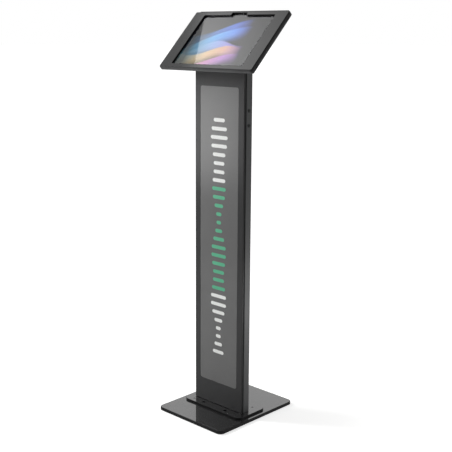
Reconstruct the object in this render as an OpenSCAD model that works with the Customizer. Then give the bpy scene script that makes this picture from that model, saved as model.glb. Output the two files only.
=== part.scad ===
// Floor-standing tablet kiosk: a weighted base plate, a slim channel column with a
// graphic panel in its front, and a lockable tablet enclosure tilted towards the user.
// Millimetres. The origin lies on the floor under the centre of the base plate.
// The front faces -Y, the user's right hand is +X and +Z is up.

/* [Base] */
// Width of the base plate
base_w = 222; // [200:1:320]
// Depth of the base plate
base_d = 272; // [250:1:360]
// Thickness of the base plate
base_t = 8; // [6:0.5:14]
// Corner radius of the base plate
base_corner_r = 14; // [4:1:30]
// Bevel along the upper rim of the base plate
base_bevel = 1.2; // [0.4:0.1:3]
// Diameter of a rubber pad
pad_d = 24; // [14:1:34]
// Height of a rubber pad
pad_h = 1.5; // [1:0.1:5]
// Distance from the plate's edges to the centre of a pad
pad_inset = 24; // [20:1:36]

/* [Foot] */
// Thickness of the column's foot plate
foot_t = 5; // [3:0.5:8]
// Share of the base plate's side margins that the foot plate covers
foot_share = 0.58; // [0.3:0.01:0.8]
// Reach of the foot plate in front of the column
foot_reach = 27; // [24:1:50]
// Reach of the foot plate behind the column
foot_back_reach = 46; // [30:1:70]
// Corner radius of the foot plate
foot_corner_r = 16; // [4:1:20]
// Bevel along the upper rim of the foot plate
foot_bevel = 0.8; // [0.3:0.1:2]
// Height of the upstand inside the column
upstand_h = 60; // [44:1:90]
// Diameter of a floor anchor hole
anchor_d = 9; // [6:0.5:12]
// Spacing of the anchor holes across the foot
anchor_pitch = 76; // [64:1:84]
// Spacing of the foot screws across the foot
foot_screw_pitch = 146; // [116:1:156]

/* [Column] */
// Width of the column
col_w = 163; // [150:1:200]
// Depth of the column, with its front plate
col_d = 28; // [25:0.5:40]
// Length of the column
col_len = 881.5; // [500:0.5:1200]
// Distance of the column's front ahead of the base plate's centre
col_lead = 30; // [10:1:50]
// Wall thickness of the column
col_wall = 3; // [2:0.5:4]
// Rounding of the column's corner edges
col_edge_r = 1.5; // [0.5:0.1:2.5]
// Width of the shadow groove behind the front plate
groove_w = 3.5; // [2:0.5:6]
// Depth of the shadow groove
groove_depth = 4; // [3.5:0.5:8]
// Reach of the front lips towards the column's middle
lip_reach = 28; // [24:1:32]
// Side of a screw port in the column's back corners
port_side = 10; // [8:0.5:11]
// Thickness of the top cap
cap_t = 4; // [3:0.5:8]
// Frame left round the cap's cable slot
cap_rim = 2.7; // [2:0.1:2.9]

/* [Front plate] */
// Thickness of the front plate
plate_t = 4; // [3.5:0.5:6]
// Rounding of the front plate's long edges
plate_edge_r = 1.2; // [0.5:0.1:1.7]
// Gap between the front plate and the foot plate
plate_foot_gap = 1; // [0.5:0.1:4]
// Side border of the front plate beside the graphic panel
panel_border = 18.5; // [10:0.5:22]
// Border below the graphic panel
panel_foot_border = 59.5; // [20:0.5:120]
// Border above the graphic panel
panel_head_border = 70; // [20:0.5:120]
// Thickness of the graphic panel
panel_t = 1; // [0.5:0.1:1.5]
// Corner radius of the graphic panel
panel_corner_r = 6; // [1:0.5:12]
// Number of plate screws in one row
plate_screw_rows = 4; // [2:1:8]
// Distance from the panel's ends to the first and last plate screw
plate_screw_end = 40; // [15:1:80]

/* [Cable ways] */
// Diameter of the cable bore in the column's rear grommet
outlet_bore_d = 16; // [8:0.5:20]
// Height of the outlet's centre above the upstand
outlet_rise = 36; // [24:1:120]
// Diameter of the cable bore in the enclosure's grommet
entry_bore_d = 11; // [8:0.5:11.5]
// Rubber between a grommet's bore and its hole
grommet_wall = 2.5; // [1.5:0.1:2.5]
// Overhang of a grommet's flange past its hole
grommet_flange = 2.5; // [1:0.1:3]
// Place of the cable entry along the enclosure's slope
entry_v = 24; // [18:1:28]

/* [Head bracket] */
// Tilt of the enclosure from level
head_tilt = 45; // [38:1:52]
// Distance of the enclosure's middle behind the column's front
head_offset = 19; // [14:0.5:24]
// Gap between the bracket plate and the column cap's front edge
neck_gap = 2.8; // [2.4:0.1:20]
// Thickness of the bracket's steel
bracket_t = 3; // [2.5:0.5:5]
// Side of the square bracket plate
bracket_side = 120; // [114:1:140]
// Corner radius of the bracket plate
bracket_corner_r = 6; // [2:0.5:10]
// Spacing of the square hole pattern on the bracket plate
vesa_pitch = 100; // [75:25:100]
// Diameter of the hole in the middle of the bracket plate
bracket_eye_d = 28; // [16:1:40]
// Length of the bracket's leg inside the column
leg_len = 66; // [48:1:100]
// Gap between a leg and the column's lips
leg_side_gap = 2; // [1:0.5:6]
// Distance from a leg's sides to its screws
leg_screw_inset = 16; // [12:1:20]
// Distance from a leg's ends to its screws
leg_screw_end = 14; // [10:1:16]
// Reach of the gussets behind the leg
gusset_reach = 22; // [12:1:32]
// Spacing of the two gussets
gusset_pitch = 72; // [50:1:84]

/* [Enclosure] */
// Wall thickness of the shell and of the frame's rim
shell_wall = 2.5; // [1.5:0.1:3.5]
// Floor thickness of the shell
shell_floor = 2.5; // [2:0.1:4]
// Corner radius of the enclosure
enc_corner_r = 5; // [4.5:0.5:14]
// Bevel along the shell's back edges
shell_bevel = 3.5; // [1:0.1:4]
// Bevel along the frame's front edges
frame_bevel = 1.8; // [0.5:0.1:2.4]
// Height of the frame's rim, from the parting line to the front face
rim_h = 6; // [5.6:0.1:6.4]
// Thickness of the frame's lip round the window
lip_t = 3.6; // [3:0.1:4]
// Width of the window beyond the display on each side
window_margin = 1.5; // [0:0.1:3]
// Corner radius of the window
window_r = 3; // [1:0.5:8]
// Width of the camera notch
notch_w = 50; // [20:1:90]
// Height of the camera notch above the window
notch_h = 7.5; // [5:0.5:8.5]
// Corner radius of the camera notch
notch_r = 3; // [1:0.5:4]
// Thickness of the foam gasket round the window
gasket_t = 0.6; // [0.4:0.1:1]
// Width of the gasket ring above and below the window
gasket_band = 6; // [4:0.5:8]
// Width of the bay between the tablet's short sides and the walls
side_bay = 25.5; // [21:0.1:36]

/* [Hinge and lock] */
// Outer radius of a hinge knuckle
knuckle_r = 2.5; // [2.2:0.1:2.8]
// Radius of a hinge pin
pin_r = 1; // [0.8:0.1:1.2]
// Number of hinges in the row along the upper edge
hinge_count = 5; // [3:1:7]
// Distance from the hinge row's ends to the enclosure's corner roundings
hinge_end = 5; // [2:0.5:20]
// Length of the frame's knuckle in a hinge
frame_knuckle = 27; // [10:1:30]
// Place of the lock along the enclosure's slope
lock_v = -55; // [-64:1:-50]
// Radius of the lock's barrel
barrel_r = 6; // [5.6:0.1:6]
// Radius of the lock's plug
plug_r = 4; // [3.6:0.1:4.2]
// Radius of the lock's outer flange
lock_flange_r = 9; // [7.5:0.1:10]
// Corner radius of the lock's hexagon nut
lock_nut_r = 9; // [8:0.1:9]
// Thickness of the lock's cam
cam_t = 1.6; // [1.2:0.1:1.8]
// Width of the lock's cam
cam_w = 7; // [6.4:0.1:7.4]
// Overlap of the closed cam over the frame's hook
cam_grip = 3.2; // [2:0.1:3.4]

/* [Tablet] */
// Length of the tablet
tablet_w = 248.6; // [246:0.1:300]
// Width of the tablet
tablet_h = 179.5; // [176:0.1:220]
// Thickness of the tablet's tray
tablet_body_t = 6.3; // [6:0.1:6.6]
// Thickness of the cover glass
glass_t = 0.7; // [0.5:0.1:1]
// Corner radius of the tablet
tablet_corner_r = 10; // [6:0.5:14]
// Width of the dark border round the display
bezel = 10.75; // [10:0.05:14]
// Wall thickness of the tablet's tray
tray_wall = 1.5; // [1:0.1:2]
// Floor thickness of the tablet's tray
tray_floor = 0.9; // [0.6:0.1:1.2]
// Thickness of the display module
display_t = 1.5; // [1:0.1:1.8]
// Length of the battery
battery_w = 180; // [100:1:190]
// Width of the battery
battery_h = 92; // [60:1:96]
// Thickness of the battery
battery_t = 3; // [2:0.1:3.2]
// Length of the circuit board
board_w = 190; // [100:1:200]
// Width of the circuit board
board_h = 36; // [20:1:40]
// Thickness of the circuit board
board_t = 1.2; // [0.8:0.1:2]
// Radius of the camera's barrel
camera_r = 2.4; // [1.5:0.1:2.8]
// Thickness of the foam pads under the tablet
tablet_pad_t = 0.5; // [0.5:0.1:1.5]
// Thickness of the stops beside the tablet
stop_t = 3.5; // [2:0.1:4]
// Length of a stop along the tablet's edge
stop_len = 26; // [16:1:28]
// Length of the power button
power_len = 12; // [8:1:14]
// Length of the volume rocker
volume_len = 24; // [16:1:26]
// Height of the buttons
button_h = 2.4; // [1.6:0.1:3]
// Stand-out of the buttons from the tablet's edge
button_proud = 0.8; // [0.5:0.1:1.2]

/* [Clearances] */
// Gap round the graphic panel in its recess
panel_gap = 0.25; // [0.1:0.05:0.6]
// Radial gap round a screw's shank
screw_gap = 0.1; // [0.05:0.05:0.2]
// Gap at the parting line between shell and frame
part_gap = 0.1; // [0.05:0.05:0.3]
// Radial gap of a turning pin or plug
turn_gap = 0.07; // [0.03:0.01:0.1]
// Gap between pieces that pass each other
pass_gap = 0.3; // [0.2:0.05:0.5]
// Gap round a button in its slot
button_gap = 0.15; // [0.1:0.05:0.3]
// Gap between the tablet's long sides and the walls
tablet_gap = 0.75; // [0.4:0.05:2]
// Gap between the gasket and the cover glass
gasket_gap = 0.1; // [0.05:0.05:0.3]

/* [Hidden] */
$fn = 48;

// Extra length of a cut past the face that it opens
cut = 1;

// Screws: shank radius, head radius, head height
m3_r = 1.5;
m3_head_r = 2.8;
m3_head_h = 1.8;
m4_r = 2;
m4_head_r = 3.8;
m4_head_h = 2.2;
m5_r = 2.5;
m5_head_r = 4.6;
m5_head_h = 2.6;

// Heights of the base and the foot
base_z = pad_h;
foot_z = base_z + base_t;
col_z = foot_z + foot_t;
col_top = col_z + col_len;
cap_top = col_top + cap_t;

// Depths along Y
col_front = -col_lead;
col_back = col_front + col_d;
lip_front = col_front + plate_t;
side_front = lip_front + groove_w;
duct_back = col_back - col_wall;
foot_front = col_front - foot_reach;
foot_rear = col_back + foot_back_reach;
front_row_y = col_front - foot_reach / 2;
rear_row_y = col_back + foot_back_reach / 2;

// Widths across the foot and the column
foot_w = col_w + foot_share * (base_w - col_w);
lip_half = col_w / 2 - groove_depth;
throat_half = lip_half - lip_reach;
leg_w = 2 * (throat_half - leg_side_gap);
leg_screw_x = leg_w / 2 - leg_screw_inset;
port_x = col_w / 2 - col_wall - port_side / 2;
port_y = duct_back - port_side / 2;
port_r = m3_r + screw_gap;

// Graphic panel and its screws
plate_z = col_z + plate_foot_gap;
plate_len = col_top - plate_z;
panel_w = col_w - 2 * panel_border;
panel_h = plate_len - panel_foot_border - panel_head_border;
panel_mid = plate_z + panel_foot_border + panel_h / 2;
recess_floor = col_front + panel_t;
plate_screw_x = throat_half + m4_head_r + pass_gap;
plate_screw_span = panel_h - 2 * plate_screw_end;

// Cable outlet
outlet_z = col_z + upstand_h + outlet_rise;
outlet_hole_r = outlet_bore_d / 2 + grommet_wall;

// Layers of the enclosure, counted from its back plane
pad_w0 = shell_floor;
tray_w0 = pad_w0 + tablet_pad_t;
glass_w0 = tray_w0 + tablet_body_t;
glass_top = glass_w0 + glass_t;
gasket_w0 = glass_top + gasket_gap;
lip_w0 = gasket_w0 + gasket_t;
enc_t = lip_w0 + lip_t;
frame_w0 = enc_t - rim_h;
part_w = frame_w0 - part_gap;
display_w0 = glass_w0 - display_t;
tray_in_w0 = tray_w0 + tray_floor;
button_w = tray_w0 + tablet_body_t / 2;

// Outline of the enclosure and of its hollow
cavity_w = tablet_w + 2 * side_bay;
cavity_h = tablet_h + 2 * tablet_gap;
enc_w = cavity_w + 2 * shell_wall;
enc_h = cavity_h + 2 * shell_wall;
cavity_r = enc_corner_r - shell_wall;
display_w = tablet_w - 2 * bezel;
display_h = tablet_h - 2 * bezel;
window_w = display_w + 2 * window_margin;
window_h = display_h + 2 * window_margin;

// Place of the enclosure: its back plane clears the column cap's front edge by neck_gap
head_y = col_front + head_offset;
head_z = cap_top + neck_gap + head_offset * tan(head_tilt) + bracket_t / cos(head_tilt);

// Hinge line above the enclosure's upper edge, on the parting plane
hinge_v = enc_h / 2 + knuckle_r + pass_gap;
hinge_w = frame_w0 - part_gap / 2;
hinge_pitch = (enc_w - 2 * enc_corner_r - 2 * hinge_end) / hinge_count;
shell_knuckle = (hinge_pitch - frame_knuckle - 3 * pass_gap) / 2;
hinge_len = hinge_pitch - pass_gap;

// Lock in the right-hand bay
lock_u = tablet_w / 2 + lock_nut_r * cos(30) + 1.9;
lock_nut_t = 1.8;
lock_flange_t = 2;
barrel_end = lip_w0 - 3.9;
cam_w0 = barrel_end + pass_gap - button_gap;
cam_square = plug_r;
shelf_t = 1.6;
shelf_w0 = cam_w0 - pass_gap - shelf_t;
hook_u0 = lock_u + barrel_r + 2 * pass_gap;
hook_u1 = cavity_w / 2 - pass_gap;
hook_side = cam_w / 2 + 5 * pass_gap;
hook_shank = 4;
cam_reach = hook_u0 + cam_grip - lock_u;

// Cable entry in the right-hand bay
entry_u = tablet_w / 2 + side_bay / 2;
entry_hole_r = entry_bore_d / 2 + grommet_wall;
entry_flange_t = 0.4;

// Stops and the ribs behind them
stop_u = tablet_w / 2 + pass_gap;
rib_t = 2;
stop_h = part_w - shell_floor - 1.3;
left_stops = [-60, -8];
right_stops = [64, -22];

// Buttons on the tablet's left edge
power_v = 58;
volume_v = 30;
button_flange = 1;

// Rectangle with round corners, centred
module rounded_rect(size_x, size_y, r) {
    square([size_x - 2 * r, size_y], center = true);
    square([size_x, size_y - 2 * r], center = true);
    for (sx = [-1, 1], sy = [-1, 1])
        translate([sx * (size_x / 2 - r), sy * (size_y / 2 - r)])
            circle(r = r);
}

// Slot with round ends along X, centred
module slot_shape(length, width) {
    square([length - width, width], center = true);
    for (sx = [-1, 1])
        translate([sx * (length - width) / 2, 0])
            circle(d = width);
}

// Plate with round corners and a bevel along its upper rim, standing on z = 0.
// A bevelled profile runs along each side and turns through each corner.
module bevelled_plate(size_x, size_y, t, r, bevel) {
    half_x = size_x / 2;
    half_y = size_y / 2;
    rotate([90, 0, 90])
        linear_extrude(size_x - 2 * r, center = true)
            polygon([[-half_y, 0], [half_y, 0], [half_y, t - bevel], [half_y - bevel, t],
                [bevel - half_y, t], [-half_y, t - bevel]]);
    for (sx = [-1, 1])
        translate([sx * (half_x - r), 0, 0])
            rotate([90, 0, 0])
                linear_extrude(size_y - 2 * r, center = true)
                    polygon([[0, 0], [sx * r, 0], [sx * r, t - bevel], [sx * (r - bevel), t], [0, t]]);
    for (quarter = [0:3])
        translate([(quarter == 0 || quarter == 3 ? 1 : -1) * (half_x - r),
            (quarter < 2 ? 1 : -1) * (half_y - r), 0])
            rotate([0, 0, 90 * quarter])
                rotate_extrude(angle = 90)
                    polygon([[0, 0], [r, 0], [r, t - bevel], [r - bevel, t], [0, t]]);
}

// Screw with a countersunk head: flat of the head on z = 0, shank towards +Z
module countersunk_screw(shank_r, head_r, head_h, length) {
    rotate_extrude()
        polygon([[0, 0], [head_r, 0], [shank_r, head_h], [shank_r, length], [0, length]]);
}

// Hole for such a screw, open past its head
module countersunk_hole(shank_r, head_r, head_h, length) {
    gap = screw_gap;
    rotate_extrude()
        polygon([[0, -cut], [head_r + gap, -cut], [head_r + gap, 0], [shank_r + gap, head_h],
            [shank_r + gap, length], [0, length]]);
}

// Screw with a button head: seat on z = 0, shank towards +Z
module button_screw(shank_r, head_r, head_h, length) {
    rotate_extrude()
        polygon([[0, -head_h], [head_r * 0.55, -head_h], [head_r * 0.9, -head_h * 0.6],
            [head_r, 0], [shank_r, 0], [shank_r, length], [0, length]]);
}

// Grommet for a panel: bore along Z, outer flange below z = 0, inner one above the panel
module grommet(bore_r, panel, outer_flange, inner_flange) {
    hole_r = bore_r + grommet_wall;
    rotate_extrude()
        polygon([[bore_r, -outer_flange], [hole_r + grommet_flange, -outer_flange],
            [hole_r + grommet_flange, 0], [hole_r - screw_gap, 0], [hole_r - screw_gap, panel],
            [hole_r + grommet_flange, panel], [hole_r + grommet_flange, panel + inner_flange],
            [bore_r, panel + inner_flange]]);
}

// Places children in the enclosure's own frame: x across, y up the slope, z out of the face
module at_head() {
    translate([0, head_y, head_z])
        rotate([head_tilt, 0, 0])
            children();
}

// Repeats children at the four anchor holes
module at_anchors() {
    for (sx = [-1, 1], row_y = [front_row_y, rear_row_y])
        translate([sx * anchor_pitch / 2, row_y, 0])
            children();
}

// Repeats children at the four foot screws
module at_foot_screws() {
    for (sx = [-1, 1], row_y = [front_row_y, rear_row_y])
        translate([sx * foot_screw_pitch / 2, row_y, base_z])
            children();
}

// Repeats children at the column screws, pointing forwards from the column's back
module at_column_screws() {
    rows = [col_z + leg_screw_end, col_z + upstand_h - leg_screw_end,
        col_top - leg_len + leg_screw_end, col_top - leg_screw_end];
    for (sx = [-1, 1], row_z = rows)
        translate([sx * leg_screw_x, col_back, row_z])
            rotate([90, 0, 0])
                children();
}

// Repeats children at the plate screws, pointing backwards from the recess
module at_plate_screws() {
    for (sx = [-1, 1], row = [0:plate_screw_rows - 1])
        translate([sx * plate_screw_x, recess_floor,
            panel_mid - plate_screw_span / 2 + row * plate_screw_span / (plate_screw_rows - 1)])
            rotate([-90, 0, 0])
                children();
}

// Repeats children at the corners of the square hole pattern
module at_vesa() {
    for (sx = [-1, 1], sy = [-1, 1])
        translate([sx * vesa_pitch / 2, sy * vesa_pitch / 2, 0])
            children();
}

// Repeats children at the hinges of the row, along X from each hinge's middle
module at_hinges() {
    for (place = [0:hinge_count - 1])
        translate([(place - (hinge_count - 1) / 2) * hinge_pitch, 0, 0])
            children();
}

module base_plate() {
    color("dimgray")
        difference() {
            translate([0, 0, base_z])
                bevelled_plate(base_w, base_d, base_t, base_corner_r, base_bevel);
            at_anchors()
                cylinder(d = anchor_d, h = foot_z + cut);
            at_foot_screws()
                countersunk_hole(m5_r, m5_head_r, m5_head_h, base_t + cut);
        }
}

module base_pads() {
    color("black")
        for (sx = [-1, 1], sy = [-1, 1])
            translate([sx * (base_w / 2 - pad_inset), sy * (base_d / 2 - pad_inset), 0])
                cylinder(d = pad_d, h = pad_h);
}

// Foot plate with the upstand that the column slips over
module foot_plate() {
    color("slategray")
        difference() {
            union() {
                translate([0, (foot_front + foot_rear) / 2, foot_z])
                    bevelled_plate(foot_w, foot_rear - foot_front, foot_t, foot_corner_r, foot_bevel);
                translate([-leg_w / 2, duct_back - bracket_t, foot_z])
                    cube([leg_w, bracket_t, foot_t + upstand_h]);
            }
            translate([0, 0, foot_z - cut])
                at_anchors()
                    cylinder(d = anchor_d, h = foot_t + 2 * cut);
            at_foot_screws()
                cylinder(r = m5_r + screw_gap, h = base_t + foot_t + cut);
            at_column_screws()
                cylinder(r = m5_r + screw_gap, h = col_wall + bracket_t + cut);
        }
}

module foot_screws() {
    color("silver")
        at_foot_screws()
            countersunk_screw(m5_r, m5_head_r, m5_head_h, base_t + foot_t);
}

// Section of the column: back and sides, stepped lips at the front, two screw ports
module column_profile() {
    difference() {
        union() {
            translate([0, (side_front + col_back) / 2])
                rounded_rect(col_w, col_back - side_front, col_edge_r);
            translate([-lip_half, lip_front])
                square([2 * lip_half, groove_w + col_wall]);
        }
        difference() {
            translate([col_wall - col_w / 2, side_front + col_wall])
                square([col_w - 2 * col_wall, duct_back - side_front - col_wall]);
            for (sx = [-1, 1])
                translate([sx * port_x, port_y])
                    square(port_side, center = true);
        }
        translate([col_wall - lip_half, lip_front + col_wall])
            square([2 * (lip_half - col_wall), groove_w]);
        translate([-throat_half, lip_front - cut])
            square([2 * throat_half, groove_w + col_wall + cut]);
        for (sx = [-1, 1])
            translate([sx * port_x, port_y])
                circle(r = port_r);
    }
}

module column_body() {
    color("gray")
        difference() {
            translate([0, 0, col_z])
                linear_extrude(col_len)
                    column_profile();
            translate([0, duct_back - cut, outlet_z])
                rotate([-90, 0, 0])
                    cylinder(r = outlet_hole_r, h = col_wall + 2 * cut);
            translate([0, cut, 0])
                at_column_screws()
                    cylinder(r = m5_r + screw_gap, h = col_wall + 2 * cut);
            at_plate_screws()
                cylinder(r = m4_r + screw_gap, h = plate_t + col_wall + cut);
        }
}

module column_screws() {
    color("silver")
        at_column_screws()
            button_screw(m5_r, m5_head_r, m5_head_h, col_wall + bracket_t);
}

// Flat front with a shallow recess for the graphic panel
module front_plate() {
    color("darkslategray")
        difference() {
            translate([0, col_front + plate_t / 2, plate_z])
                linear_extrude(plate_len)
                    rounded_rect(col_w, plate_t, plate_edge_r);
            translate([0, recess_floor, panel_mid])
                rotate([90, 0, 0])
                    linear_extrude(panel_t + cut)
                        rounded_rect(panel_w + 2 * panel_gap, panel_h + 2 * panel_gap,
                            panel_corner_r + panel_gap);
            at_plate_screws()
                countersunk_hole(m4_r, m4_head_r, m4_head_h, plate_t + cut);
        }
}

module plate_screws() {
    color("silver")
        at_plate_screws()
            countersunk_screw(m4_r, m4_head_r, m4_head_h, plate_t - panel_t + col_wall);
}

module graphic_panel() {
    color("gainsboro")
        translate([0, recess_floor, panel_mid])
            rotate([90, 0, 0])
                linear_extrude(panel_t)
                    rounded_rect(panel_w, panel_h, panel_corner_r);
}

// Top cap with a slot for the bracket's leg and the cable
module column_cap() {
    slot_front = lip_front;
    slot_back = col_back - cap_rim;
    color("black")
        translate([0, 0, col_top])
            difference() {
                linear_extrude(cap_t)
                    difference() {
                        translate([0, (col_front + col_back) / 2])
                            rounded_rect(col_w, col_d, col_edge_r);
                        translate([-throat_half, slot_front])
                            square([2 * throat_half, slot_back - slot_front]);
                    }
                for (sx = [-1, 1])
                    translate([sx * port_x, port_y, -cut])
                        cylinder(r = m3_r + screw_gap, h = cap_t + 2 * cut);
            }
}

module cap_screws() {
    grip = 12;
    color("silver")
        for (sx = [-1, 1])
            translate([sx * port_x, port_y, cap_top])
                rotate([180, 0, 0])
                    button_screw(m3_r, m3_head_r, m3_head_h, cap_t + grip);
}

module rear_grommet() {
    flange_t = 2;
    color("black")
        translate([0, col_back, outlet_z])
            rotate([90, 0, 0])
                grommet(outlet_bore_d / 2, col_wall, flange_t, flange_t);
}

// Steel bracket: leg in the column, tilted hole plate and two gussets behind the leg
module head_bracket() {
    leg_front = duct_back - bracket_t;
    leg_mid = duct_back - bracket_t / 2;
    under_plate = head_z + (duct_back - head_y) * tan(head_tilt) - bracket_t / cos(head_tilt);
    mid_plate = head_z - bracket_t / 2 / cos(head_tilt);
    gusset_end = duct_back + gusset_reach;
    gusset_foot = cap_top + neck_gap;
    color("slategray")
        difference() {
            union() {
                at_head()
                    translate([0, 0, -bracket_t])
                        linear_extrude(bracket_t)
                            difference() {
                                rounded_rect(bracket_side, bracket_side, bracket_corner_r);
                                circle(d = bracket_eye_d);
                                at_vesa()
                                    circle(r = m4_r + screw_gap);
                            }
                translate([-leg_w / 2, leg_front, col_top - leg_len])
                    cube([leg_w, bracket_t, under_plate - col_top + leg_len]);
                for (sx = [-1, 1])
                    translate([sx * gusset_pitch / 2, 0, 0])
                        rotate([90, 0, 90])
                            linear_extrude(bracket_t, center = true)
                                polygon([[leg_mid, gusset_foot],
                                    [gusset_end, mid_plate + (gusset_end - head_y) * tan(head_tilt)],
                                    [leg_mid, mid_plate + (leg_mid - head_y) * tan(head_tilt)]]);
            }
            at_column_screws()
                cylinder(r = m5_r + screw_gap, h = col_wall + bracket_t + cut);
        }
}

module vesa_screws() {
    color("silver")
        at_head()
            translate([0, 0, -bracket_t])
                at_vesa()
                    button_screw(m4_r, m4_head_r, m4_head_h, bracket_t + shell_floor);
}

// Knuckle along X with a web back to the wall, from its own start
module knuckle(start, length, web_w0, web_h) {
    root_v = enc_h / 2 - shell_wall / 2;
    translate([start, hinge_v, hinge_w])
        rotate([0, 90, 0])
            cylinder(r = knuckle_r, h = length);
    translate([start, root_v, web_w0])
        cube([length, hinge_v - root_v, web_h]);
}

// Bore through a whole hinge
module hinge_bore(r) {
    length = hinge_len + 2 * cut;
    translate([-length / 2, hinge_v, hinge_w])
        rotate([0, 90, 0])
            cylinder(r = r, h = length);
}

// Rear half of the enclosure: floor, walls, stop ribs, vents and hinge knuckles
module back_shell() {
    color("dimgray")
        at_head()
            difference() {
                union() {
                    difference() {
                        translate([0, 0, part_w])
                            mirror([0, 0, 1])
                                bevelled_plate(enc_w, enc_h, part_w, enc_corner_r, shell_bevel);
                        translate([0, 0, shell_floor])
                            linear_extrude(part_w)
                                rounded_rect(cavity_w, cavity_h, cavity_r);
                    }
                    at_hinges()
                        for (start = [-frame_knuckle / 2 - pass_gap - shell_knuckle,
                            frame_knuckle / 2 + pass_gap])
                            knuckle(start, shell_knuckle, hinge_w - knuckle_r,
                                part_w - hinge_w + knuckle_r);
                    stop_ribs();
                }
                at_hinges()
                    hinge_bore(pin_r + turn_gap / 2);
                translate([0, 0, -cut])
                    at_vesa()
                        cylinder(r = m4_r + screw_gap, h = shell_floor + 2 * cut);
                translate([lock_u, lock_v, -cut])
                    cylinder(r = barrel_r + screw_gap, h = shell_floor + 2 * cut);
                translate([entry_u, entry_v, -cut])
                    cylinder(r = entry_hole_r, h = shell_floor + 2 * cut);
                floor_vents();
                speaker_slots();
            }
}

// Ribs on the shell's floor that back the tablet stops
module stop_ribs() {
    for (side = [-1, 1], v = side < 0 ? left_stops : right_stops)
        translate([side * (stop_u + stop_t + rib_t / 2), v, shell_floor / 2 + stop_h / 2])
            cube([rib_t, stop_len, shell_floor + stop_h], center = true);
}

// Two fields of vent slots through the shell's floor
module floor_vents() {
    vent_len = 30;
    vent_w = 3;
    vent_step = 9;
    vent_rows = 5;
    vent_u = bracket_side / 2 + vent_len;
    for (side = [-1, 1], row = [0:vent_rows - 1])
        translate([side * vent_u, (row - (vent_rows - 1) / 2) * vent_step, -cut])
            linear_extrude(shell_floor + 2 * cut)
                slot_shape(vent_len, vent_w);
}

// Speaker slots near both ends of the short walls
module speaker_slots() {
    slot_len = 14;
    slot_h = 2;
    slot_v = enc_h / 2 - enc_corner_r - slot_len;
    for (sx = [-1, 1], sy = [-1, 1])
        translate([sx * (enc_w / 2 - shell_wall / 2), sy * slot_v, (shell_bevel + part_w) / 2])
            rotate([90, 0, 90])
                linear_extrude(shell_wall + 2 * cut, center = true)
                    slot_shape(slot_len, slot_h);
}

module entry_grommet() {
    color("black")
        at_head()
            translate([entry_u, entry_v, 0])
                grommet(entry_bore_d / 2, shell_floor, entry_flange_t, entry_flange_t);
}

module tablet_pads() {
    strip_w = 60;
    strip_h = 10;
    strip_u = 84;
    strip_v = 66;
    color("black")
        at_head()
            for (sx = [-1, 1], sy = [-1, 1])
                translate([sx * strip_u, sy * strip_v, pad_w0])
                    linear_extrude(tablet_pad_t)
                        square([strip_w, strip_h], center = true);
}

module tablet_stops() {
    color("black")
        at_head()
            for (side = [-1, 1], v = side < 0 ? left_stops : right_stops)
                translate([side * (stop_u + stop_t / 2), v, shell_floor + stop_h / 2])
                    cube([stop_t, stop_len, stop_h], center = true);
}

// Tray of the tablet with its button slots and charging port
module tablet_body() {
    port_len = 9;
    port_h = 2.8;
    color("lightsteelblue")
        at_head()
            difference() {
                translate([0, 0, tray_w0])
                    linear_extrude(tablet_body_t)
                        rounded_rect(tablet_w, tablet_h, tablet_corner_r);
                translate([0, 0, tray_in_w0])
                    linear_extrude(tablet_body_t)
                        rounded_rect(tablet_w - 2 * tray_wall, tablet_h - 2 * tray_wall,
                            tablet_corner_r - tray_wall);
                button_slot(power_v, power_len);
                button_slot(volume_v, volume_len);
                translate([tablet_w / 2 - tray_wall / 2, 0, button_w])
                    cube([tray_wall + 2 * cut, port_len, port_h], center = true);
            }
}

// Slot for a button through the tray's left wall
module button_slot(v, length) {
    translate([tray_wall / 2 - tablet_w / 2, v, button_w])
        cube([tray_wall + 2 * cut, length + 2 * button_gap, button_h + 2 * button_gap], center = true);
}

// Button with a flange inside the tray that keeps it from falling out
module edge_button(v, length) {
    outer = -tablet_w / 2 - button_proud;
    flange_u = tray_wall + button_gap - tablet_w / 2;
    translate([outer, v - length / 2, button_w - button_h / 2])
        cube([flange_u + button_flange - outer, length, button_h]);
    translate([flange_u, v - length / 2 - button_flange, button_w - button_h / 2 - button_flange / 2])
        cube([button_flange, length + 2 * button_flange, button_h + button_flange]);
}

module tablet_battery() {
    battery_v = -30;
    color("darkgray")
        at_head()
            translate([0, battery_v, tray_in_w0])
                linear_extrude(battery_t)
                    rounded_rect(battery_w, battery_h, 3);
}

module tablet_board() {
    board_v = 56;
    color("darkgreen")
        at_head()
            translate([0, board_v, tray_in_w0])
                linear_extrude(board_t)
                    rounded_rect(board_w, board_h, 2);
}

module tablet_display() {
    color("steelblue")
        at_head()
            translate([0, 0, display_w0])
                linear_extrude(display_t)
                    rounded_rect(display_w, display_h, 3);
}

module tablet_glass() {
    inset = 0.3;
    color("lightcyan")
        at_head()
            translate([0, 0, glass_w0])
                linear_extrude(glass_t)
                    rounded_rect(tablet_w - 2 * inset, tablet_h - 2 * inset, tablet_corner_r - inset);
}

module front_camera() {
    barrel_len = 2.5;
    color("midnightblue")
        at_head()
            translate([0, tablet_h / 2 - bezel / 2, glass_w0 - barrel_len])
                cylinder(r = camera_r, h = barrel_len);
}

module power_button() {
    color("silver")
        at_head()
            edge_button(power_v, power_len);
}

module volume_rocker() {
    color("silver")
        at_head()
            edge_button(volume_v, volume_len);
}

// Window with the camera notch above its middle
module window_shape(extra) {
    rounded_rect(window_w + 2 * extra, window_h + 2 * extra, window_r);
    translate([0, window_h / 2])
        rounded_rect(notch_w + 2 * extra, 2 * (notch_h + extra), notch_r);
}

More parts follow.
